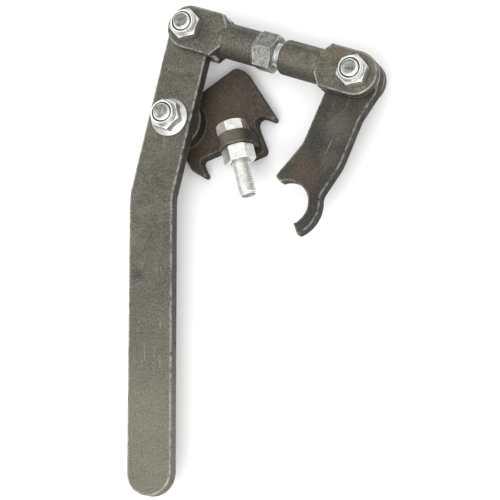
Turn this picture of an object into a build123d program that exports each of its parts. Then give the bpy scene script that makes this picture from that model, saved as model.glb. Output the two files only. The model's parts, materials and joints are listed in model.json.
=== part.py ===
"""Coupler latch: a cranked hand lever works an adjustable link and a notched claw on a forged bracket.

The mechanism lies flat. Its bolts stand along +Z and the hand end of the lever points along -Y.
Places are first given from the fulcrum axis at the lever's mid-plane, then shifted so that the origin
is under the middle of the whole outline. All lengths are millimetres and all angles are degrees.
"""

import os
from math import cos, radians, sin, tan

from build123d import *

# Hand lever: flat bar, bent in its own plane just below the fulcrum
BAR_WIDTH = 31.0
BAR_THICKNESS = 10.0
BAR_EDGE_ROUND = 0.8
LEVER_LEAN = 14.1
PIVOT_ARM = 63.2
BEND_DROP = 55.5
BEND_RADIUS = 45.0
HAND_LENGTH = 185.5

# Fits
BOLT_RADIUS = 6.0
BOLT_HOLE_RADIUS = 6.05
STUD_RADIUS = 8.0
STUD_HOLE_RADIUS = 8.05
SIDE_GAP = 0.2
SEATING_GAP = 0.1

# Hex hardware: M12 throughout, with an M16 stud and jam nut
M12_FLATS = 19.0
M16_FLATS = 24.0
CROWN_ANGLE = 30.0
BOLT_HEAD_HEIGHT = 7.5
BOLT_PROTRUSION = 2.2
BOLT_END_CHAMFER = 1.0
NUT_MOUTH_CHAMFER = 0.8
STOP_NUT_HEIGHT = 10.8
JAM_NUT_HEIGHT = 13.0

# Lock nuts: a round collar stands above the hexagon and holds a nylon ring
LOCK_NUT_HEX = 8.0
LOCK_NUT_HEIGHT = 12.0
COLLAR_RADIUS = 8.6
COLLAR_CURL = 0.9
COLLAR_CURL_HEIGHT = 1.4
RING_RADIUS = 7.0
RING_HEIGHT = 2.6
RING_RECESS = 0.4
FLANGE_NUT_HEX = 10.5
FLANGE_NUT_HEIGHT = 14.5
FLANGE_RADIUS = 13.0
FLANGE_RIM = 1.0
FLANGE_HEIGHT = 3.2

# Link: two clevises joined by a threaded stud
LINK_SLOPE = 21.5
LINK_LENGTH = 126.6
FORK_GAP = BAR_THICKNESS + 2 * SIDE_GAP
EAR_RADIUS = 15.0
SHOULDER = 22.0
SHOULDER_END = 27.8
SHOULDER_NECK = 7.0
THROAT_DEPTH = 22.0
SHANK_RADIUS = 12.0
SHANK_ROOT_ROUND = 6.0
LEFT_EAR_FACE = 10.7
LEFT_SHANK_END = 52.0
LEFT_END_ROUND = 0.6
LEFT_BORE_START = 21.0
RIGHT_EAR_FACE = 12.3
RIGHT_SHANK_END = 56.8
RIGHT_END_ROUND = 3.0
RIGHT_BORE_START = 25.0
STUD_START = 27.0
STUD_LENGTH = 73.0

# Claw arm
CLAW_THICKNESS = 10.0
CLAW_HEAD_RADIUS = 15.0
SEAT_CENTRE = (82.8, -66.4)
SEAT_RADIUS = 15.0
HOOK_RADIUS = 23.1
SEAT_START, SEAT_END = 105.5, -72.0

# Forged bracket
PLATE_FRONT = -15.0
PLATE_THICKNESS = 10.0
PLATE_EDGE_ROUND = 1.2
PLATE_ROUND_RADIUS = 21.5
BOSS_RADIUS = 18.5
BOSS_FACE = -BAR_THICKNESS / 2 - SIDE_GAP
BOSS_ROOT_ROUND = 1.5
BOSS_EDGE_ROUND = 0.8
HEAD_POCKET_RADIUS = 11.6
HEAD_POCKET_DEPTH = BOLT_HEAD_HEIGHT + 0.5

# Stop bolt and the lug that carries it
LUG_X, LUG_Y = 45.7, -19.6
LUG_RADIUS = 11.75
LUG_THICKNESS = 9.6
LUG_EDGE_ROUND = 1.0
STOP_LEAN = 13.6
STOP_HEAD_GAP = 0.3
STOP_LENGTH = 44.7

# Which way a corner or a flat of each hexagon faces
LEFT_NUT_SPIN = 9.0
RIGHT_NUT_SPIN = 7.5
FLANGE_NUT_SPIN = 40.0
STOP_HEAD_SPIN = 55.0
STOP_NUT_SPIN = 16.5

# Corners of the bracket's plate, clockwise, each with the radius that rounds it
PLATE_CORNERS = {
    (-4.0, 10.5): 1.0,
    (40.5, 37.3): 5.5,
    (47.4, 33.3): 4.0,
    (70.9, -5.2): 1.6,
    (53.5, 3.0): 4.0,
    (55.3, -6.6): 9.0,
    (62.0, -24.8): 3.5,
    (42.5, -31.0): 3.0,
    (32.0, -20.3): 8.0,
    (13.8, -26.0): 3.0,
    (20.7, -40.9): 1.6,
    (8.2, -33.0): 4.0,
    (-4.2, -11.2): 1.0,
}

# Corners of the claw arm from the hook up the outer edge, through the head and down the inner edge
CLAW_CORNERS = {
    (106.2, -63.5): 8.0,
    (119.9, -44.9): 40.0,
    (133.6, -14.1): 25.0,
    (145.4, 2.0): 12.0,
    (147.2, 11.0): 1.0,
    (135.0, 22.0): 1.0,
    (120.0, 20.0): 1.0,
    (110.5, 6.8): 6.0,
    (94.6, -27.2): 20.0,
    (85.3, -37.3): 12.0,
    (75.3, -47.7): 1.5,
}

UP = Vector(0, 0, 1)


def heading(angle):
    """A unit direction in the mechanism's plane, counter-clockwise from +X."""
    return Vector(cos(radians(angle)), sin(radians(angle)), 0)


lever_up = heading(90 - LEVER_LEAN)
link_along = heading(-LINK_SLOPE)
stop_down = heading(-90 + STOP_LEAN)

# Places from the fulcrum axis, and the origin under the middle of the whole outline
left_pin = lever_up * PIVOT_ARM
right_pin = left_pin + link_along * LINK_LENGTH
bend = lever_up * -BEND_DROP
hand_end = bend + Vector(0, -HAND_LENGTH, 0)
middle_x = (bend.X - BAR_WIDTH / 2 + right_pin.X + EAR_RADIUS) / 2
middle_y = (hand_end.Y + left_pin.Y) / 2

FULCRUM = Vector(-middle_x, -middle_y, PLATE_THICKNESS - PLATE_FRONT)
LEFT_PIVOT = FULCRUM + left_pin
RIGHT_PIVOT = FULCRUM + right_pin
LUG_CENTRE = FULCRUM + Vector(LUG_X, LUG_Y, 0)

mid_plane = Plane(origin=FULCRUM, x_dir=(1, 0, 0), z_dir=UP)
plate_back = mid_plane.offset(PLATE_FRONT - PLATE_THICKNESS)
left_fork = Plane(origin=LEFT_PIVOT, x_dir=link_along, z_dir=UP)
right_fork = Plane(origin=RIGHT_PIVOT, x_dir=-link_along, z_dir=UP)
link_axis = Plane(origin=LEFT_PIVOT, x_dir=UP, z_dir=link_along)
lug_middle = Plane(origin=LUG_CENTRE, x_dir=UP, z_dir=stop_down)


def axial_section(seat):
    """The plane through a seat's axis: its X runs outward from the axis and its Y along the axis."""
    return Plane(origin=seat.origin, x_dir=seat.x_dir, z_dir=-seat.y_dir)


def turned(seat, outline):
    """Revolve an outline of (radius, distance along the axis) points about a seat's axis."""
    with BuildPart() as body:
        with BuildSketch(axial_section(seat)):
            with BuildLine():
                Polyline(*outline, close=True)
            make_face()
        revolve(axis=Axis(seat.origin, seat.z_dir))
    return body.part


def crowned_hex(seat, flats, height, spin, both_ends=False):
    """A hexagon with its corners turned off at the far end, or at both ends."""
    flat_radius = flats / 2
    reach = flat_radius / cos(radians(30)) + 1
    drop = (reach - flat_radius) * tan(radians(CROWN_ANGLE))
    near_end = [(0, drop), (0, 0), (flat_radius, 0), (reach, drop)] if both_ends else [(0, 0), (reach, 0)]
    crown = turned(seat, near_end + [(reach, height - drop), (flat_radius, height), (0, height)])
    with BuildPart() as body:
        with BuildSketch(seat):
            RegularPolygon(flat_radius, 6, major_radius=False, rotation=spin)
        extrude(amount=height)
        add(crown, mode=Mode.INTERSECT)
    return body.part


def hex_bolt(seat, length, spin):
    """An M12 hex bolt: its head stands behind the seat and its shank runs along the seat's normal."""
    head_side = Plane(origin=seat.origin, x_dir=seat.x_dir, z_dir=-seat.z_dir)
    with BuildPart() as bolt:
        add(crowned_hex(head_side, M12_FLATS, BOLT_HEAD_HEIGHT, spin))
        with BuildSketch(seat):
            Circle(BOLT_RADIUS)
        extrude(amount=length)
        tip = bolt.faces().sort_by(Axis(seat.origin, seat.z_dir))[-1]
        chamfer(tip.edges(), BOLT_END_CHAMFER)
    return bolt.part


def plain_nut(seat, flats, height, hole_radius, spin):
    """A hex nut, chamfered at both ends, that stands on its seat."""
    with BuildPart() as nut:
        add(crowned_hex(seat, flats, height, spin, both_ends=True))
        with BuildSketch(seat):
            Circle(hole_radius)
        extrude(amount=height, mode=Mode.SUBTRACT)
        mouths = nut.edges().filter_by(GeomType.CIRCLE)
        chamfer(mouths.filter_by(lambda edge: abs(edge.radius - hole_radius) < SEATING_GAP), NUT_MOUTH_CHAMFER)
    return nut.part


def lock_nut(seat, hex_height, height, spin, flanged=False):
    """An M12 lock nut: a hexagon, a round collar above it and, if asked, a flange below it."""
    collar = [
        (0, 0),
        (COLLAR_RADIUS, 0),
        (COLLAR_RADIUS, height - COLLAR_CURL_HEIGHT),
        (COLLAR_RADIUS - COLLAR_CURL / 3, height - COLLAR_CURL_HEIGHT / 2),
        (COLLAR_RADIUS - COLLAR_CURL, height),
        (0, height),
    ]
    flange = [
        (0, 0),
        (FLANGE_RADIUS, 0),
        (FLANGE_RADIUS, FLANGE_RIM),
        (M12_FLATS / 2, FLANGE_HEIGHT),
        (0, FLANGE_HEIGHT),
    ]
    with BuildPart() as nut:
        add(crowned_hex(seat, M12_FLATS, hex_height, spin))
        add(turned(seat, collar))
        if flanged:
            add(turned(seat, flange))
        with BuildSketch(seat):
            Circle(BOLT_HOLE_RADIUS)
        extrude(amount=height, mode=Mode.SUBTRACT)
        with BuildSketch(seat.offset(height - RING_RECESS - RING_HEIGHT)):
            Circle(RING_RADIUS)
        extrude(amount=RING_HEIGHT + RING_RECESS, mode=Mode.SUBTRACT)
    return nut.part


def nylon_ring(seat, height):
    """The ring that sits in a lock nut's collar and grips the bolt."""
    with BuildPart() as ring:
        with BuildSketch(seat.offset(height - RING_RECESS - RING_HEIGHT)):
            Circle(RING_RADIUS)
            Circle(BOLT_HOLE_RADIUS, mode=Mode.SUBTRACT)
        extrude(amount=RING_HEIGHT)
    return ring.part


def round_bar(seat, radius, length, start_round, end_round):
    """A round bar along a seat's normal, with both of its ends rounded over."""
    with BuildPart() as bar:
        with BuildSketch(seat):
            Circle(radius)
        extrude(amount=length)
        ends = bar.faces().filter_by(GeomType.PLANE).sort_by(Axis(seat.origin, seat.z_dir))
        fillet(ends[0].edges(), start_round)
        fillet(ends[-1].edges(), end_round)
    return bar.part


def clevis(fork, ear_face, shank_end, end_round, bore_start):
    """A fork with two round-ended ears, a throat and a bored round shank that runs along the fork's X."""
    across = Plane(origin=fork.origin, x_dir=UP, z_dir=fork.x_dir)
    root = THROAT_DEPTH - 1
    shank = round_bar(across.offset(root), SHANK_RADIUS, shank_end - root, SHANK_ROOT_ROUND, end_round)
    with BuildPart() as body:
        with BuildSketch(fork.offset(-ear_face)):
            Circle(EAR_RADIUS)
            with BuildLine():
                Polyline(
                    (0, EAR_RADIUS),
                    (SHOULDER, EAR_RADIUS),
                    (SHOULDER_END, SHOULDER_NECK),
                    (SHOULDER_END, -SHOULDER_NECK),
                    (SHOULDER, -EAR_RADIUS),
                    (0, -EAR_RADIUS),
                    close=True,
                )
            make_face()
        extrude(amount=2 * ear_face)
        fillet(body.faces().filter_by(Axis.Z).edges(), BAR_EDGE_ROUND)
        add(shank)
        with BuildSketch(fork.offset(-FORK_GAP / 2)):
            with Locations((THROAT_DEPTH - 2 * EAR_RADIUS, 0)):
                Rectangle(4 * EAR_RADIUS, 4 * EAR_RADIUS)
        extrude(amount=FORK_GAP, mode=Mode.SUBTRACT)
        with BuildSketch(fork.offset(-ear_face)):
            Circle(BOLT_HOLE_RADIUS)
        extrude(amount=2 * ear_face, mode=Mode.SUBTRACT)
        with BuildSketch(across.offset(bore_start)):
            Circle(STUD_HOLE_RADIUS)
        extrude(amount=shank_end - bore_start, mode=Mode.SUBTRACT)
    return body.part


def rounded_corners(corners, **ends):
    """A run of straight lines through a table of corners, each rounded by its own radius."""
    return FilletPolyline(*corners, radius=list(corners.values()), **ends)


def keep(piece, name):
    """Label a finished piece and write it."""
    piece.label = name
    export_step(piece, f"parts/{name}.step")
    pieces.append(piece)


os.makedirs("parts", exist_ok=True)
pieces = []

# Lug of the bracket: a round-topped tab, square to the stop bolt
with BuildPart() as lug:
    with BuildSketch(lug_middle.offset(-LUG_THICKNESS / 2)):
        Circle(LUG_RADIUS)
        with Locations(((PLATE_FRONT - 1) / 2, 0)):
            Rectangle(1 - PLATE_FRONT, 2 * LUG_RADIUS)
    extrude(amount=LUG_THICKNESS)
    lug_ends = lug.faces().sort_by(Axis(LUG_CENTRE, stop_down))
    fillet(lug_ends[0].edges() + lug_ends[-1].edges(), LUG_EDGE_ROUND)

# Forged bracket: notched plate, fulcrum boss and lug, with a pocket behind for the fulcrum bolt's head
with BuildPart() as bracket_plate:
    with BuildSketch(plate_back):
        with BuildLine():
            rounded_corners(PLATE_CORNERS, close=True)
        make_face()
        Circle(PLATE_ROUND_RADIUS)
    extrude(amount=PLATE_THICKNESS)
    fillet(bracket_plate.faces().filter_by(Axis.Z).edges(), PLATE_EDGE_ROUND)
    with BuildSketch(mid_plane.offset(PLATE_FRONT)):
        Circle(BOSS_RADIUS)
    extrude(amount=BOSS_FACE - PLATE_FRONT)
    circles = bracket_plate.edges().filter_by(GeomType.CIRCLE).sort_by(Axis.Z)
    boss_circles = circles.filter_by(lambda edge: abs(edge.radius - BOSS_RADIUS) < SEATING_GAP)
    fillet(boss_circles[0], BOSS_ROOT_ROUND)
    fillet(boss_circles[-1], BOSS_EDGE_ROUND)
    add(lug.part)
    with BuildSketch(plate_back):
        Circle(BOLT_HOLE_RADIUS)
    extrude(amount=PLATE_THICKNESS + BOSS_FACE - PLATE_FRONT, mode=Mode.SUBTRACT)
    with BuildSketch(plate_back):
        Circle(HEAD_POCKET_RADIUS)
    extrude(amount=HEAD_POCKET_DEPTH, mode=Mode.SUBTRACT)
    with BuildSketch(lug_middle.offset(-LUG_THICKNESS / 2)):
        Circle(BOLT_HOLE_RADIUS)
    extrude(amount=LUG_THICKNESS, mode=Mode.SUBTRACT)
keep(bracket_plate.part, "bracket_plate")

# Hand lever
with BuildPart() as lever_handle:
    with BuildSketch(mid_plane.offset(-BAR_THICKNESS / 2)):
        with BuildLine():
            FilletPolyline(left_pin, bend, hand_end, radius=BEND_RADIUS)
        trace(line_width=BAR_WIDTH)
        with Locations(left_pin, hand_end):
            Circle(BAR_WIDTH / 2)
    extrude(amount=BAR_THICKNESS)
    fillet(lever_handle.faces().filter_by(Axis.Z).edges(), BAR_EDGE_ROUND)
    with BuildSketch(mid_plane.offset(-BAR_THICKNESS / 2)):
        with Locations((0, 0), left_pin):
            Circle(BOLT_HOLE_RADIUS)
    extrude(amount=BAR_THICKNESS, mode=Mode.SUBTRACT)
keep(lever_handle.part, "lever_handle")

# Claw arm
with BuildPart() as claw_arm:
    with BuildSketch(mid_plane.offset(-CLAW_THICKNESS / 2)):
        with BuildLine():
            seat_arc = CenterArc(SEAT_CENTRE, SEAT_RADIUS, SEAT_START, SEAT_END - SEAT_START)
            hook_arc = CenterArc(SEAT_CENTRE, HOOK_RADIUS, SEAT_END, -SEAT_END)
            Line(seat_arc @ 1, hook_arc @ 0)
            FilletPolyline(hook_arc @ 1, *CLAW_CORNERS, seat_arc @ 0, radius=list(CLAW_CORNERS.values()))
        make_face()
        with Locations(right_pin):
            Circle(CLAW_HEAD_RADIUS)
    extrude(amount=CLAW_THICKNESS)
    fillet(claw_arm.faces().filter_by(Axis.Z).edges(), BAR_EDGE_ROUND)
    with BuildSketch(mid_plane.offset(-CLAW_THICKNESS / 2)):
        with Locations(right_pin):
            Circle(BOLT_HOLE_RADIUS)
    extrude(amount=CLAW_THICKNESS, mode=Mode.SUBTRACT)
keep(claw_arm.part, "claw_arm")

# Link
keep(clevis(left_fork, LEFT_EAR_FACE, LEFT_SHANK_END, LEFT_END_ROUND, LEFT_BORE_START), "left_clevis")
keep(clevis(right_fork, RIGHT_EAR_FACE, RIGHT_SHANK_END, RIGHT_END_ROUND, RIGHT_BORE_START), "right_clevis")
with BuildPart() as adjuster_stud:
    with BuildSketch(link_axis.offset(STUD_START)):
        Circle(STUD_RADIUS)
    extrude(amount=STUD_LENGTH)
    chamfer(adjuster_stud.edges().filter_by(GeomType.CIRCLE), BOLT_END_CHAMFER)
keep(adjuster_stud.part, "adjuster_stud")
jam_seat = link_axis.offset(LEFT_SHANK_END + SEATING_GAP)
keep(plain_nut(jam_seat, M16_FLATS, JAM_NUT_HEIGHT, STUD_HOLE_RADIUS, 0), "jam_nut")

# Pivot bolts with their lock nuts and nylon rings
for side, pivot, ear_face, nut_spin in (
    ("left", LEFT_PIVOT, LEFT_EAR_FACE, LEFT_NUT_SPIN),
    ("right", RIGHT_PIVOT, RIGHT_EAR_FACE, RIGHT_NUT_SPIN),
):
    pivot_plane = Plane(origin=pivot, x_dir=(1, 0, 0), z_dir=UP)
    nut_seat = pivot_plane.offset(ear_face)
    bolt_length = 2 * ear_face + LOCK_NUT_HEIGHT + BOLT_PROTRUSION
    keep(hex_bolt(pivot_plane.offset(-ear_face), bolt_length, nut_spin), f"{side}_pivot_bolt")
    keep(lock_nut(nut_seat, LOCK_NUT_HEX, LOCK_NUT_HEIGHT, nut_spin), f"{side}_lock_nut")
    keep(nylon_ring(nut_seat, LOCK_NUT_HEIGHT), f"{side}_nylon_insert")

# Fulcrum bolt, its flanged lock nut and nylon ring
head_seat = plate_back.offset(HEAD_POCKET_DEPTH)
flange_seat = mid_plane.offset(BAR_THICKNESS / 2 + SIDE_GAP)
fulcrum_length = (flange_seat.origin - head_seat.origin).Z + FLANGE_NUT_HEIGHT + BOLT_PROTRUSION
keep(hex_bolt(head_seat, fulcrum_length, 0), "fulcrum_bolt")
keep(lock_nut(flange_seat, FLANGE_NUT_HEX, FLANGE_NUT_HEIGHT, FLANGE_NUT_SPIN, True), "fulcrum_flange_nut")
keep(nylon_ring(flange_seat, FLANGE_NUT_HEIGHT), "fulcrum_nylon_insert")

# Stop bolt and its lock nut on the lug
stop_seat = lug_middle.offset(-LUG_THICKNESS / 2 - STOP_HEAD_GAP)
keep(hex_bolt(stop_seat, STOP_LENGTH, STOP_HEAD_SPIN), "stop_bolt")
stop_nut_seat = lug_middle.offset(LUG_THICKNESS / 2 + SEATING_GAP)
keep(plain_nut(stop_nut_seat, M12_FLATS, STOP_NUT_HEIGHT, BOLT_HOLE_RADIUS, STOP_NUT_SPIN), "stop_lock_nut")

box = Compound(children=pieces).bounding_box()
print(f"{len(pieces)} pieces, from {box.min} to {box.max}")
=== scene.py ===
"""The looks of the coupler latch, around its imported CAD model.

Lengths are metres, +Z up, except where a name or a docstring says millimetres.
"""

import json
from math import cos, pi, radians, sin

import bmesh
import bpy
import numpy as np
from mathutils import Matrix, Vector


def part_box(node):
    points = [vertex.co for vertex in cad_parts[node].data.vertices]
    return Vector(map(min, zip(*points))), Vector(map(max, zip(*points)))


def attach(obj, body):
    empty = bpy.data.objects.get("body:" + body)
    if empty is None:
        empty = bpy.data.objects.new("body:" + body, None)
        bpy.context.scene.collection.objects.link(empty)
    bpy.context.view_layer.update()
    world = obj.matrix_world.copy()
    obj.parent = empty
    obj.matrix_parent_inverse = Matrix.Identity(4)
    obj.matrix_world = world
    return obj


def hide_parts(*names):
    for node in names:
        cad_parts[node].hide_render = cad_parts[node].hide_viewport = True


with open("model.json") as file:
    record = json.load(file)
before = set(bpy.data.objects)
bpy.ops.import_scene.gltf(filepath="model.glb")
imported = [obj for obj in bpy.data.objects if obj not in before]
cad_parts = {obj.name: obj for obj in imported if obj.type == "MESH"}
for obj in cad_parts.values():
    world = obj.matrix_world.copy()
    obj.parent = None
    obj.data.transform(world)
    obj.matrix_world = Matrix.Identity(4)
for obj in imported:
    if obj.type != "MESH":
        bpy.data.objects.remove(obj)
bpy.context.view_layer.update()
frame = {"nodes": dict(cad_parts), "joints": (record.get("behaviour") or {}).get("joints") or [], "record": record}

MM = 0.001
NODES = frame["nodes"]
JOINTS = {joint["name"]: joint for joint in frame["joints"]}
BODY_OF = {
    node: body for body, nodes in frame["record"]["behaviour"]["bodies"].items() for node in nodes
}
SLOT_OF = {part["node"]: part["material_slot"] for part in frame["record"]["subparts"]}


def joint_place(name):
    return Vector(JOINTS[name]["pos_m"])


def joint_axis(name):
    return Vector(JOINTS[name]["axis"]).normalized()


FULCRUM = joint_place("lever_pivot")
LEFT_PIVOT = joint_place("link_pivot")
RIGHT_PIVOT = joint_place("claw_pivot")
LINK_ALONG = joint_axis("link_adjust")
STOP_DOWN = -joint_axis("stop_adjust")


def from_fulcrum(x, y, z=0.0):
    """A point given in millimetres from the fulcrum."""
    return FULCRUM + Vector((x, y, z)) * MM


def along_link(origin, distance, side, height):
    """A point given in millimetres from a pivot: along the link, beside it and above it."""
    across = Vector((-LINK_ALONG.y, LINK_ALONG.x, 0.0))
    return origin + (LINK_ALONG * distance + across * side + Vector((0, 0, height))) * MM


# Materials

MIX_A, MIX_B, MIX_RESULT = 6, 7, 2  # a Mix node's colour sockets


def srgb(red, green, blue):
    """A colour given as 0 to 255 display values, as linear RGBA."""
    linear = []
    for value in (red / 255, green / 255, blue / 255):
        linear.append(value / 12.92 if value <= 0.04045 else ((value + 0.055) / 1.055) ** 2.4)
    return (*linear, 1.0)


class Graph:
    """One material's node tree, with a short call for each kind of node that it uses."""

    def __init__(self, name):
        self.material = bpy.data.materials.new(name)
        self.material.use_nodes = True
        self.tree = self.material.node_tree
        self.tree.nodes.clear()
        self.place = self.node("ShaderNodeTexCoord").outputs["Object"]
        self.geometry = self.node("ShaderNodeNewGeometry")

    def node(self, kind, **settings):
        made = self.tree.nodes.new(kind)
        for key, value in settings.items():
            setattr(made, key, value)
        return made

    def feed(self, socket, value):
        if isinstance(value, bpy.types.NodeSocket):
            self.tree.links.new(value, socket)
        else:
            socket.default_value = value

    def math(self, operation, a, b=0.0, clamp=False):
        made = self.node("ShaderNodeMath", operation=operation, use_clamp=clamp)
        self.feed(made.inputs[0], a)
        self.feed(made.inputs[1], b)
        return made.outputs[0]

    def measure(self, operation, a, b):
        """The one number that a vector operation gives, such as a distance or a dot product."""
        made = self.node("ShaderNodeVectorMath", operation=operation)
        self.feed(made.inputs[0], a)
        self.feed(made.inputs[1], b)
        return made.outputs["Value"]

    def remap(self, value, low, high, to_low=0.0, to_high=1.0, smooth=False):
        shape = "SMOOTHSTEP" if smooth else "LINEAR"
        made = self.node("ShaderNodeMapRange", interpolation_type=shape)
        for socket, number in zip(made.inputs[:5], (value, low, high, to_low, to_high)):
            self.feed(socket, number)
        return made.outputs[0]

    def noise(self, size, detail=4.0, roughness=0.55, distortion=0.0, place=None):
        """Noise whose largest blotches are about that many millimetres across."""
        made = self.node("ShaderNodeTexNoise")
        self.feed(made.inputs["Vector"], place or self.place)
        self.feed(made.inputs["Scale"], 1 / (size * MM))
        self.feed(made.inputs["Detail"], detail)
        self.feed(made.inputs["Roughness"], roughness)
        self.feed(made.inputs["Distortion"], distortion)
        return made.outputs[0]

    def cells(self, size):
        """A random colour for each cell, with cells about that many millimetres across."""
        made = self.node("ShaderNodeTexVoronoi")
        self.feed(made.inputs["Vector"], self.place)
        self.feed(made.inputs["Scale"], 1 / (size * MM))
        return made.outputs["Color"]

    def stretched(self, angle, squeeze):
        """Coordinates turned by degrees about Z and squeezed along the new X, so noise runs long there."""
        made = self.node("ShaderNodeMapping", vector_type="TEXTURE")
        self.feed(made.inputs["Vector"], self.place)
        made.inputs["Rotation"].default_value = (0, 0, radians(angle))
        made.inputs["Scale"].default_value = (squeeze, 1, 1)
        return made.outputs[0]

    def blend(self, share, a, b):
        made = self.node("ShaderNodeMix", data_type="RGBA")
        self.feed(made.inputs[0], share)
        self.feed(made.inputs[MIX_A], a)
        self.feed(made.inputs[MIX_B], b)
        return made.outputs[MIX_RESULT]

    def edges(self, reach):
        """1 on outer edges, where the solid behind the surface is thin, and 0 on flats and in hollows."""
        solid = self.node("ShaderNodeAmbientOcclusion", samples=8, inside=True, only_local=True)
        solid.inputs["Distance"].default_value = reach * MM
        return self.remap(solid.outputs["AO"], 0.90, 0.62)

    def hollows(self, reach):
        """1 deep in corners and gaps, 0 in the open."""
        shade = self.node("ShaderNodeAmbientOcclusion", samples=6, only_local=False)
        shade.inputs["Distance"].default_value = reach * MM
        return self.remap(shade.outputs["AO"], 0.85, 0.25)

    def bump(self, height, depth):
        """A normal from a height of 0 to 1 that stands for that many millimetres."""
        made = self.node("ShaderNodeBump")
        self.feed(made.inputs["Height"], height)
        made.inputs["Distance"].default_value = depth * MM
        return made.outputs[0]

    def finish(self, colour, roughness, normal, **plain):
        """The material, with a Principled shader whose other inputs are named with underscores."""
        shader = self.node("ShaderNodeBsdfPrincipled")
        self.feed(shader.inputs["Base Color"], colour)
        self.feed(shader.inputs["Roughness"], roughness)
        self.feed(shader.inputs["Normal"], normal)
        for key, value in plain.items():
            self.feed(shader.inputs[key.replace("_", " ")], value)
        out = self.node("ShaderNodeOutputMaterial")
        self.tree.links.new(shader.outputs[0], out.inputs["Surface"])
        return self.material


STEEL_TONES = (0.38, 0.62)  # the mixed noise that stands for the darkest and the lightest steel
ZINC_TONES = (0.36, 0.64)
# colour of the painted shade in corners and gaps on steel
PAINTED_CREVICE_SHADE = (0.010, 0.008, 0.007, 1.0)
# colour of the painted shade in corners and gaps on plated parts
PAINTED_NUT_SHADE = (0.02, 0.019, 0.017, 1.0)
RUBBED_ZINC = (0.93, 0.93, 0.92, 1.0)
CLOUD_AND_MOTTLE = 0.55
SPECKLE = 0.45
FACE_TILT, SIDE_TILT = 0.75, 0.35  # how upright a normal is where painted side shade starts and where it is full
# the strongest painted side shade, as a share of the side colour
SIDE_SHARE = 0.85
RAGGED = 0.45  # how far a patch's outline wanders, as a share of its radius
PATCH_CORE = 0.2  # where a patch is at full strength, as a share of its radius


def steel(name, dark, light, side, worn, metallic, rough, wear, patches=(), grain_angle=0.0, pits=0.03,
          scratch=0.35, cloud=0.25, grain=0.3):
    """Oiled or scaled steel: clouded, mottled and speckled, with painted shade on its upright sides, bright where
    edges rub.

    A patch is a place, a radius in millimetres, a colour and a strength. Roughness runs from the
    first value of rough, on light steel, to the second, on dark.
    """
    g = Graph(name)
    clouds = g.noise(34, 3, 0.5)
    mottle = g.noise(5.5, 5, 0.66, 0.3)
    speckle = g.noise(1.5, 3, 0.7)
    tone = g.math("MULTIPLY", clouds, cloud)
    tone = g.math("ADD", tone, g.math("MULTIPLY", mottle, CLOUD_AND_MOTTLE - cloud))
    tone = g.math("ADD", tone, g.math("MULTIPLY", speckle, SPECKLE))
    colour = g.blend(g.remap(tone, *STEEL_TONES), dark, light)

    # Painted shade: upright sides take the darker side colour, as if less lit than the faces; the same mask makes
    # them rougher and less metallic
    upright = g.math("ABSOLUTE", g.measure("DOT_PRODUCT", g.geometry.outputs["True Normal"], (0, 0, 1)))
    cut = g.remap(upright, FACE_TILT, SIDE_TILT, 0.0, SIDE_SHARE)
    colour = g.blend(cut, colour, side)

    for place, radius, tint, strength in patches:
        reach = radius * MM
        wander = g.remap(mottle, 0.3, 0.7, -RAGGED * reach, RAGGED * reach)
        ragged = g.math("ADD", g.measure("DISTANCE", g.place, tuple(place)), wander)
        share = g.remap(ragged, reach, PATCH_CORE * reach, 0.0, strength, smooth=True)
        colour = g.blend(share, colour, tint)

    grains = g.remap(g.noise(1.0, 3, 0.75), 0.52, 0.80)
    colour = g.blend(g.math("MULTIPLY", grains, grain), colour, worn)
    pocks = g.remap(g.noise(0.9, 2, 0.7, 0.5), 0.46, 0.34)
    # the side colour of the painted shade, here also the colour of dark pits
    colour = g.blend(g.math("MULTIPLY", pocks, 0.5), colour, side)
    drag = g.noise(1.1, 3, 0.6, place=g.stretched(grain_angle, 26.0))
    marks = g.remap(drag, 0.64, 0.72)
    marks = g.math("MULTIPLY", marks, g.remap(g.noise(24, 2), 0.48, 0.66))
    colour = g.blend(g.math("MULTIPLY", marks, scratch), colour, worn)
    rub = g.math("MULTIPLY", g.edges(1.7), g.remap(g.noise(4.0, 4, 0.7), 0.36, 0.56))
    rub = g.math("MULTIPLY", rub, wear, clamp=True)
    colour = g.blend(rub, colour, worn)
    # painted shade: darker in corners and gaps between parts, where shade falls
    colour = g.blend(g.math("MULTIPLY", g.hollows(3.0), 0.6), colour, PAINTED_CREVICE_SHADE)

    roughness = g.remap(tone, *STEEL_TONES, rough[1], rough[0])
    roughness = g.math("ADD", roughness, g.math("MULTIPLY", cut, 0.3))
    roughness = g.math("SUBTRACT", roughness, g.math("MULTIPLY", rub, 0.2))
    shine = g.math("SUBTRACT", metallic, g.math("MULTIPLY", cut, 0.7 * metallic))
    shine = g.math("ADD", shine, g.math("MULTIPLY", rub, 1.0 - metallic), clamp=True)
    relief = g.math("ADD", mottle, g.math("MULTIPLY", speckle, 0.5))
    return g.finish(colour, roughness, g.bump(relief, pits), Metallic=shine)


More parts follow.
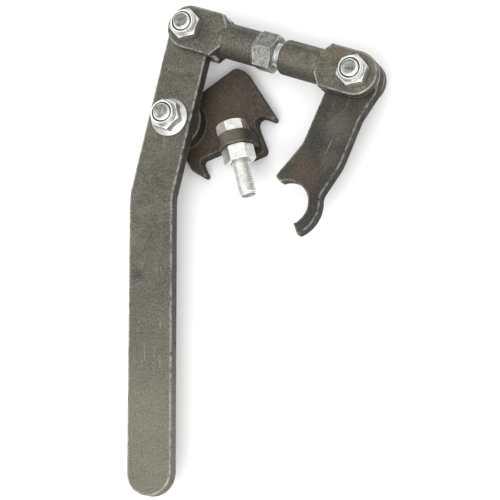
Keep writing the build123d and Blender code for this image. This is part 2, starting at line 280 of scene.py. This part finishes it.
def zinc(name, dark, light, rough, spangle, pits, rubbed, crevice_shade=0.9):
    """Plated steel: bright, with faint clouding, small spangles, rubbed edges and painted shade in the hollows."""
    g = Graph(name)
    clouds = g.noise(4.0, 4, 0.65)
    grit = g.noise(0.6, 2, 0.6)
    flake = g.measure("DOT_PRODUCT", g.cells(1.3), (0.33, 0.33, 0.33))
    tone = g.math("ADD", g.math("MULTIPLY", clouds, 1.0 - spangle), g.math("MULTIPLY", flake, spangle))
    colour = g.blend(g.remap(tone, *ZINC_TONES), dark, light)
    # painted shade: darker in corners and gaps between parts, where shade falls
    colour = g.blend(g.math("MULTIPLY", g.hollows(1.8), crevice_shade), colour, PAINTED_NUT_SHADE)
    rub = g.math("MULTIPLY", g.edges(1.0), g.remap(g.noise(2.0, 3), 0.35, 0.6))
    colour = g.blend(g.math("MULTIPLY", rub, rubbed), colour, RUBBED_ZINC)
    roughness = g.remap(tone, *ZINC_TONES, rough[1], rough[0])
    normal = g.bump(g.math("ADD", clouds, g.math("MULTIPLY", grit, 0.4)), pits)
    return g.finish(colour, roughness, normal, Metallic=1.0)


def nylon(name):
    g = Graph(name)
    mottle = g.noise(1.2, 3)
    colour = g.blend(g.remap(mottle, 0.35, 0.65), (0.003, 0.003, 0.003, 1.0), (0.010, 0.010, 0.011, 1.0))
    roughness = g.remap(mottle, 0.35, 0.65, 0.45, 0.6)
    return g.finish(colour, roughness, g.bump(mottle, 0.02), Metallic=0.0, Specular_IOR_Level=0.2)


def floor_finish(name):
    g = Graph(name)
    mottle = g.noise(180, 3)
    colour = g.blend(g.remap(mottle, 0.3, 0.7), (0.93, 0.93, 0.93, 1.0), (0.95, 0.95, 0.95, 1.0))
    return g.finish(colour, 0.9, g.bump(mottle, 0.05), Metallic=0.0)


RUBBED_STEEL = srgb(215, 213, 204)
LINK_GRAIN = -21.0

# side: the colour of the painted shade on upright sides, also of dark pits
FINISHES = {
    "lever_handle": steel(
        "bar_steel", srgb(56, 54, 46), srgb(104, 101, 88), side=srgb(32, 30, 26), worn=RUBBED_STEEL,
        metallic=0.55, rough=(0.34, 0.50), wear=1.0, grain_angle=90.0,
        patches=[
            (from_fulcrum(-13, -225, 5), 110, srgb(122, 119, 105), 0.5),
            (from_fulcrum(-8, -95, 5), 40, srgb(70, 67, 59), 0.3),
            (from_fulcrum(-22, -108, 5), 6, srgb(38, 36, 31), 0.6),
            (from_fulcrum(-14, -160, 5), 30, srgb(78, 76, 66), 0.25),
        ],
    ),
    "left_clevis": steel(
        "clevis_steel", srgb(54, 52, 45), srgb(102, 99, 87), side=srgb(44, 42, 36), worn=RUBBED_STEEL,
        metallic=0.6, rough=(0.30, 0.46), wear=1.0, grain_angle=LINK_GRAIN,
    ),
    "right_clevis": steel(
        "clevis_steel_warm", srgb(60, 57, 49), srgb(112, 107, 94), side=srgb(46, 43, 37),
        worn=RUBBED_STEEL, metallic=0.6, rough=(0.30, 0.46), wear=0.9, grain_angle=LINK_GRAIN,
        patches=[(along_link(RIGHT_PIVOT, -18, 10, 12), 13, srgb(88, 74, 56), 0.5)],
    ),
    "claw_arm": steel(
        "claw_steel", srgb(32, 30, 25), srgb(68, 65, 56), side=srgb(22, 20, 15), worn=srgb(195, 192, 182),
        metallic=0.5, rough=(0.36, 0.54), wear=0.85, grain_angle=65.0, pits=0.06, scratch=0.6,
        cloud=0.35, grain=0.2,
        patches=[
            (from_fulcrum(118, -18, 5), 15, srgb(90, 87, 76), 0.6),
            (from_fulcrum(104, -24, 5), 11, srgb(40, 38, 33), 0.6),
            (from_fulcrum(97, -48, 5), 15, srgb(70, 56, 43), 0.75),
            (from_fulcrum(112, -40, 5), 9, srgb(84, 76, 66), 0.6),
            (from_fulcrum(84, -44, 5), 8, srgb(42, 39, 33), 0.5),
        ],
    ),
    "bracket_plate": steel(
        "dark_forging", srgb(24, 19, 15), srgb(78, 67, 52), side=srgb(13, 11, 9), worn=srgb(170, 160, 144),
        metallic=0.35, rough=(0.38, 0.58), wear=0.7, grain_angle=-55.0, pits=0.11, scratch=0.3,
        cloud=0.15, grain=0.22,
        patches=[
            (from_fulcrum(34, 8, -15), 20, srgb(76, 66, 52), 0.55),
            (from_fulcrum(52, -20, -15), 11, srgb(74, 60, 46), 0.55),
            (from_fulcrum(12, -24, -15), 13, srgb(66, 54, 40), 0.5),
            (from_fulcrum(45.7, -19.6, 8), 15, srgb(92, 86, 74), 0.75),
        ],
    ),
    "jam_nut": zinc(
        "galvanised_nut", srgb(118, 118, 112), srgb(176, 176, 170), rough=(0.32, 0.48), spangle=0.45,
        pits=0.03, rubbed=0.8,
    ),
}
PLATED = zinc(
    "zinc_plate", srgb(204, 204, 200), srgb(230, 230, 227), rough=(0.26, 0.36), spangle=0.1, pits=0.003,
    rubbed=0.8,
)
THREAD = zinc(
    "zinc_thread", srgb(212, 212, 206), srgb(236, 236, 232), rough=(0.42, 0.52), spangle=0.1, pits=0.003,
    rubbed=0.6, crevice_shade=0.2,
)
BOLT_END = zinc(
    "zinc_worn_end", srgb(90, 90, 85), srgb(158, 158, 152), rough=(0.32, 0.46), spangle=0.15, pits=0.05,
    rubbed=0.9,
)
BY_SLOT = {"zinc_plate": PLATED, "black_nylon": nylon("black_nylon")}

for node, piece in NODES.items():
    piece.data.materials.clear()
    piece.data.materials.append(FINISHES.get(node) or BY_SLOT[SLOT_OF[node]])


# Threaded pieces: sizes in millimetres

M12 = dict(radius=6.0, pitch=1.75, depth=0.95)
M16 = dict(radius=8.0, pitch=2.0, depth=1.1)
THREAD_STEPS = 48
RINGS_PER_TURN = 10
ROOT_SHARE = 0.25
CREST_SHARE = 0.14
CROWN = 0.15  # how far the middle of a rod's end stands out from its rim
CROWN_RING = 0.12
CROWN_RING_SHARE = 0.55  # the radius of the ring inside the rim, as a share of the rim's
HEAD = 7.5
HEAD_CUT = 0.02  # how far behind its seat a head is cut from its bolt
SHANK_SINK = 0.3  # how far inside its head a shank starts
WELD = 0.001
PIVOT_THREAD = 21.0
PIVOT_CHAMFER = 1.2
LONG_CHAMFER = 1.3
STOP_PLAIN_LENGTH, STOP_PLAIN_RADIUS = 2.0, 5.9
BOLT_SHARP, STUD_SHARP = radians(32), radians(50)
THREAD_FINISH, END_FINISH = 1, 2  # places in a threaded piece's list of materials, where its head's is 0


def thread_height(turn):
    """How far up the thread's flank a point is, from 0 to 1, at its share of a turn."""
    flank = (1 - ROOT_SHARE - CREST_SHARE) / 2
    rise = np.clip((turn - ROOT_SHARE) / flank, 0, 1)
    fall = np.clip((1 - turn) / flank, 0, 1)
    height = np.minimum(rise, fall)
    return height * height * (3 - 2 * height)


def rod_radii(z, angle, length, radius, pitch, depth, thread_from, chamfers, plain_radius):
    """A threaded rod's radius at each height and angle."""
    height = thread_height(np.mod(z[:, None] / pitch - angle[None, :] / (2 * pi), 1.0))
    run_out = np.clip((z - thread_from) / pitch, 0, 1)[:, None]
    r = radius - depth * (1 - height) * run_out
    r = np.where(run_out > 0, r, plain_radius)
    r = np.minimum(r, (radius - chamfers[0] + z)[:, None])
    return np.minimum(r, (radius - chamfers[1] + length - z)[:, None])


def threaded_rod(length, pitch, chamfers, **shape):
    """Points and faces of a rod along +Z from 0, with a helical thread. Its far end's faces come last."""
    z = np.unique(np.concatenate([
        np.arange(0, length, pitch / RINGS_PER_TURN), [length],
        [chamfers[0] / 2, length - chamfers[1] / 2],
    ]))
    angle = np.arange(THREAD_STEPS) * 2 * pi / THREAD_STEPS
    r = rod_radii(z, angle, length=length, pitch=pitch, chamfers=chamfers, **shape)
    points = [
        (r[i, j] * cos(a), r[i, j] * sin(a), z[i]) for i in range(len(z)) for j, a in enumerate(angle)
    ]
    n = THREAD_STEPS
    faces = [
        (i * n + j, i * n + (j + 1) % n, (i + 1) * n + (j + 1) % n, (i + 1) * n + j)
        for i in range(len(z) - 1) for j in range(n)
    ]
    for rim, out, level in ((0, -1, 0.0), (len(z) - 1, 1, length)):
        start = rim * n
        inner = len(points)
        ring = CROWN_RING_SHARE * r[rim]
        points += [
            (ring[j] * cos(a), ring[j] * sin(a), level + out * CROWN_RING) for j, a in enumerate(angle)
        ]
        points.append((0, 0, level + out * CROWN))
        for j in range(n):
            k = (j + 1) % n
            quad = (start + j, start + k, inner + k, inner + j)
            cap = (inner + j, inner + k, inner + n)
            faces += [quad, cap] if out > 0 else [quad[::-1], cap[::-1]]
    return points, faces


def rod_mesh(name, origin, axis, **shape):
    """A threaded rod's mesh, from a point along an axis, with its thread and its far end told apart."""
    points, faces = threaded_rod(**shape)
    mesh = bpy.data.meshes.new(name)
    mesh.from_pydata([tuple(value * MM for value in point) for point in points], [], faces)
    end_from = len(mesh.polygons) - 2 * THREAD_STEPS
    for index, face in enumerate(mesh.polygons):
        face.material_index = END_FINISH if index >= end_from else THREAD_FINISH
    turn = Vector((0, 0, 1)).rotation_difference(axis).to_matrix().to_4x4()
    mesh.transform(Matrix.Translation(origin) @ turn)
    mesh.update()
    return mesh


def new_piece(name, mesh, node, sharp_angle):
    """A threaded piece that stands for a CAD node, on that node's body, with the plated, thread and end finishes.
    """
    mesh.shade_smooth()
    piece = bpy.data.objects.new(name, mesh)
    bpy.context.scene.collection.objects.link(piece)
    for finish in (PLATED, THREAD, BOLT_END):
        mesh.materials.append(finish)
    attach(piece, BODY_OF[node])
    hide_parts(node)
    mesh.set_sharp_from_angle(angle=sharp_angle)


def head_of(node, seat, axis):
    """A bmesh of a bolt's head alone, cut from its CAD mesh where the shank starts."""
    head = bmesh.new()
    head.from_mesh(NODES[node].data)
    bmesh.ops.remove_doubles(head, verts=head.verts, dist=WELD * MM)
    everything = head.verts[:] + head.edges[:] + head.faces[:]
    cut = bmesh.ops.bisect_plane(
        head, geom=everything, dist=WELD * MM, plane_co=seat - axis * HEAD_CUT * MM, plane_no=axis,
        clear_outer=True,
    )
    rim = [edge for edge in cut["geom_cut"] if isinstance(edge, bmesh.types.BMEdge)]
    bmesh.ops.contextual_create(head, geom=rim)
    return head


def threaded_bolt(node, seat, axis, reach, **shape):
    """The CAD bolt's head, with a threaded shank that ends where the CAD one does, reach past the seat."""
    name = node + "_threaded"
    length = reach + SHANK_SINK - CROWN
    rod = rod_mesh(name, seat - axis * SHANK_SINK * MM, axis, length=length, **M12, **shape)
    joined = head_of(node, seat, axis)
    joined.from_mesh(rod)
    joined.to_mesh(rod)
    joined.free()
    new_piece(name, rod, node, BOLT_SHARP)


def support(node, axis):
    """The furthest that a CAD node reaches along an axis."""
    return max(vertex.co.dot(axis) for vertex in NODES[node].data.vertices)


for node, pivot in (
    ("left_pivot_bolt", LEFT_PIVOT), ("right_pivot_bolt", RIGHT_PIVOT), ("fulcrum_bolt", FULCRUM)
):
    low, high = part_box(node)
    seat = Vector((pivot.x, pivot.y, low.z + HEAD * MM))
    reach = (high.z - seat.z) / MM
    threaded_bolt(
        node, seat, Vector((0, 0, 1)), reach, thread_from=reach + SHANK_SINK - CROWN - PIVOT_THREAD,
        chamfers=(0.0, PIVOT_CHAMFER), plain_radius=M12["radius"],
    )

stop_nut = joint_place("stop_nut_spin")
stop_tip = stop_nut + STOP_DOWN * (support("stop_bolt", STOP_DOWN) - stop_nut.dot(STOP_DOWN))
stop_back = -support("stop_bolt", -STOP_DOWN)
stop_seat = stop_nut + STOP_DOWN * (stop_back + HEAD * MM - stop_nut.dot(STOP_DOWN))
threaded_bolt(
    "stop_bolt", stop_seat, STOP_DOWN, (stop_tip - stop_seat).length / MM, thread_from=STOP_PLAIN_LENGTH,
    chamfers=(0.0, LONG_CHAMFER), plain_radius=STOP_PLAIN_RADIUS,
)

stud_from = -support("adjuster_stud", -LINK_ALONG)
stud_length = (support("adjuster_stud", LINK_ALONG) - stud_from) / MM
stud_start = LEFT_PIVOT + LINK_ALONG * (stud_from - LEFT_PIVOT.dot(LINK_ALONG))
stud = rod_mesh(
    "adjuster_stud_threaded", stud_start + LINK_ALONG * CROWN * MM, LINK_ALONG,
    length=stud_length - 2 * CROWN, thread_from=0.0, chamfers=(LONG_CHAMFER, LONG_CHAMFER),
    plain_radius=M16["radius"], **M16,
)
new_piece("adjuster_stud_threaded", stud, "adjuster_stud", STUD_SHARP)


# Floor

HALF_FLOOR = 6.0
FLOOR_DROP = 0.0002

corners = [(x * HALF_FLOOR, y * HALF_FLOOR, 0) for x, y in ((-1, -1), (1, -1), (1, 1), (-1, 1))]
floor_mesh = bpy.data.meshes.new("floor")
floor_mesh.from_pydata(corners, [], [(0, 1, 2, 3)])
floor_mesh.materials.append(floor_finish("floor_paper"))
floor = bpy.data.objects.new("floor", floor_mesh)
bpy.context.scene.collection.objects.link(floor)
floor.location.z = -FLOOR_DROP


# Light

DOME_HEIGHTS = (0.05, 0.85)  # the Z of a direction at which the dome is dimmest and brightest
DOME_STRENGTHS = (0.35, 1.35)
AIM = from_fulcrum(55.8, -95.2)


def softbox(name, offset, size, power):
    """A square soft light at an offset from the point that the camera looks at, and turned to it."""
    data = bpy.data.lights.new(name, "AREA")
    data.shape = "SQUARE"
    data.size, data.energy = size, power
    lamp = bpy.data.objects.new(name, data)
    bpy.context.scene.collection.objects.link(lamp)
    turn = Vector(offset).to_track_quat("Z", "Y").to_matrix().to_4x4()
    lamp.matrix_world = Matrix.Translation(AIM + Vector(offset)) @ turn


softbox("overhead", (0.05, -0.75, 1.1), 0.9, 8.0)
softbox("side", (-1.1, 0.3, 0.9), 0.8, 4.0)
softbox("fill", (1.0, -0.3, 0.8), 0.5, 2.0)

world = bpy.data.worlds.new("studio")
bpy.context.scene.world = world
world.use_nodes = True
sky = world.node_tree
background = next(node for node in sky.nodes if node.type == "BACKGROUND")
background.inputs["Color"].default_value = (1.0, 1.0, 1.0, 1.0)
direction = sky.nodes.new("ShaderNodeTexCoord").outputs["Generated"]
direction_parts = sky.nodes.new("ShaderNodeSeparateXYZ")
dome = sky.nodes.new("ShaderNodeMapRange")
for socket, number in zip(dome.inputs[1:5], (*DOME_HEIGHTS, *DOME_STRENGTHS)):
    socket.default_value = number
sky.links.new(direction, direction_parts.inputs[0])
sky.links.new(direction_parts.outputs["Z"], dome.inputs["Value"])
sky.links.new(dome.outputs[0], background.inputs["Strength"])
bpy.context.scene.view_settings.view_transform = "Standard"


# Camera

AZIMUTH, ELEVATION, ROLL = radians(-32.457), radians(67.054), radians(0.216)
VIEW_DISTANCE = 1.2
SENSOR_MM, LENS_MM = 36.0, 130.86

back = Vector((cos(ELEVATION) * cos(AZIMUTH), cos(ELEVATION) * sin(AZIMUTH), sin(ELEVATION)))
level_up = (Vector((0, 1, 0)) - back * back.y).normalized()
level_right = level_up.cross(back)
up = level_up * cos(ROLL) + level_right * sin(ROLL)
right = level_right * cos(ROLL) - level_up * sin(ROLL)

camera_data = bpy.data.cameras.new("camera")
camera_data.sensor_width = SENSOR_MM
camera_data.lens = LENS_MM
camera = bpy.data.objects.new("camera", camera_data)
bpy.context.scene.collection.objects.link(camera)
camera_turn = Matrix((right, up, back)).transposed().to_4x4()
camera.matrix_world = Matrix.Translation(AIM + back * VIEW_DISTANCE) @ camera_turn
bpy.context.scene.camera = camera
